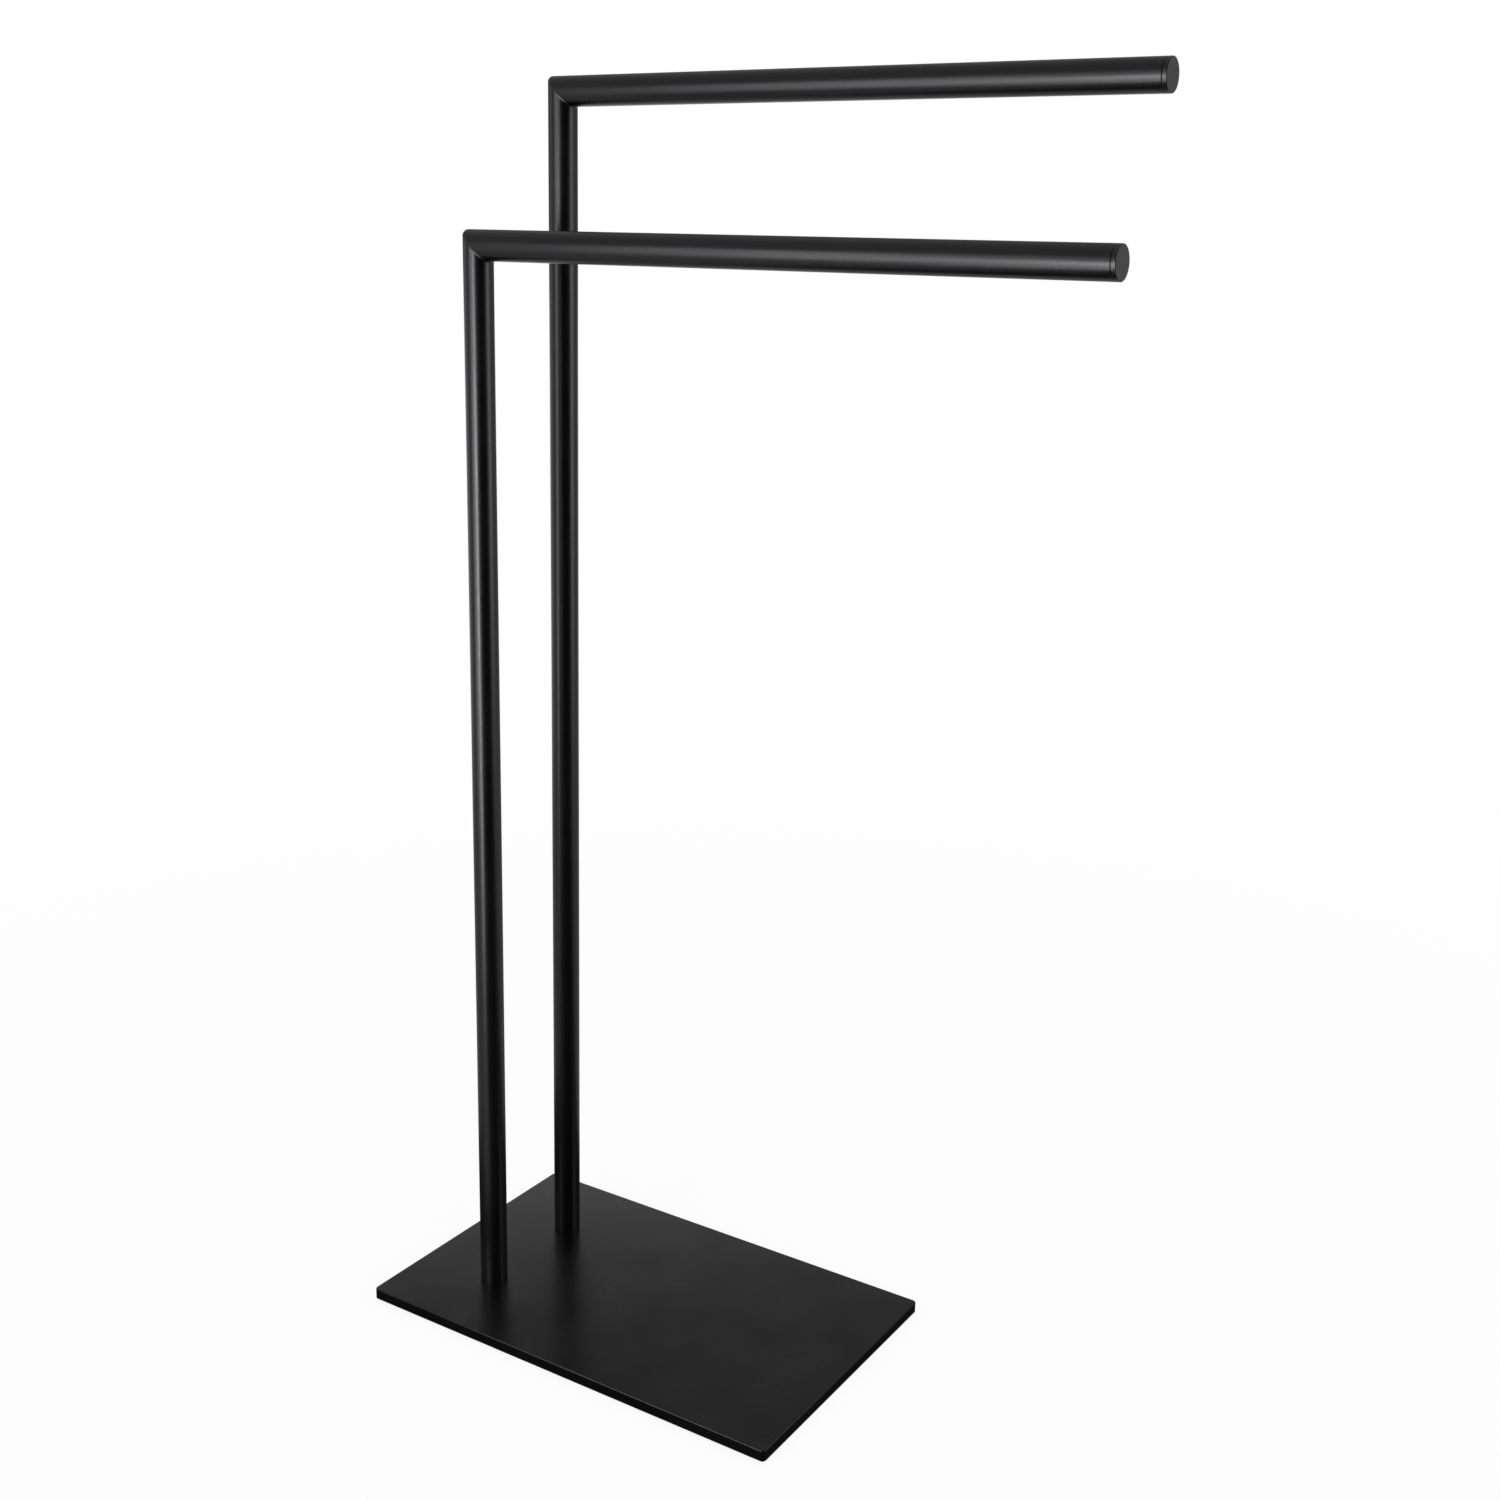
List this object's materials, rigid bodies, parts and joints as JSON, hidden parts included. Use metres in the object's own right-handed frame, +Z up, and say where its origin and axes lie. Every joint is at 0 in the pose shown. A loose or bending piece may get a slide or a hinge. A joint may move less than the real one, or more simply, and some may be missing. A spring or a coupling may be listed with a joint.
{
  "type": "towel stand",
  "caption": "Freestanding towel stand: two mitred L-shaped tube frames, one lower than the other, on a flat rectangular base plate.",
  "frame": {"origin": "on the floor, in the middle of the stand's outer box", "axes": "+X runs along the bars to their free ends, +Y from the low front bar to the high back bar, +Z up"},
  "size_m": [0.48, 0.205, 0.832],
  "materials": {
    "plate_coat": "matte black powder coat, fine grain",
    "tube_coat": "matte black powder coat, soft satin sheen",
    "cap_coat": "matte black powder coat on a turned cap",
    "plain_steel": "bare turned steel, hidden in the tube",
    "black_zinc": "black zinc plated",
    "pad_rubber": "matte black rubber"
  },
  "bodies": {
    "root": {"base_plate": "plate_coat", "front_post": "tube_coat", "back_post": "tube_coat", "front_bar": "tube_coat", "back_bar": "tube_coat", "front_end_cap": "cap_coat", "back_end_cap": "cap_coat", "front_post_plug": "plain_steel", "back_post_plug": "plain_steel", "front_base_screw": "black_zinc", "back_base_screw": "black_zinc", "front_left_floor_pad": "pad_rubber", "front_right_floor_pad": "pad_rubber", "back_left_floor_pad": "pad_rubber", "back_right_floor_pad": "pad_rubber"}
  },
  "joints": []
}
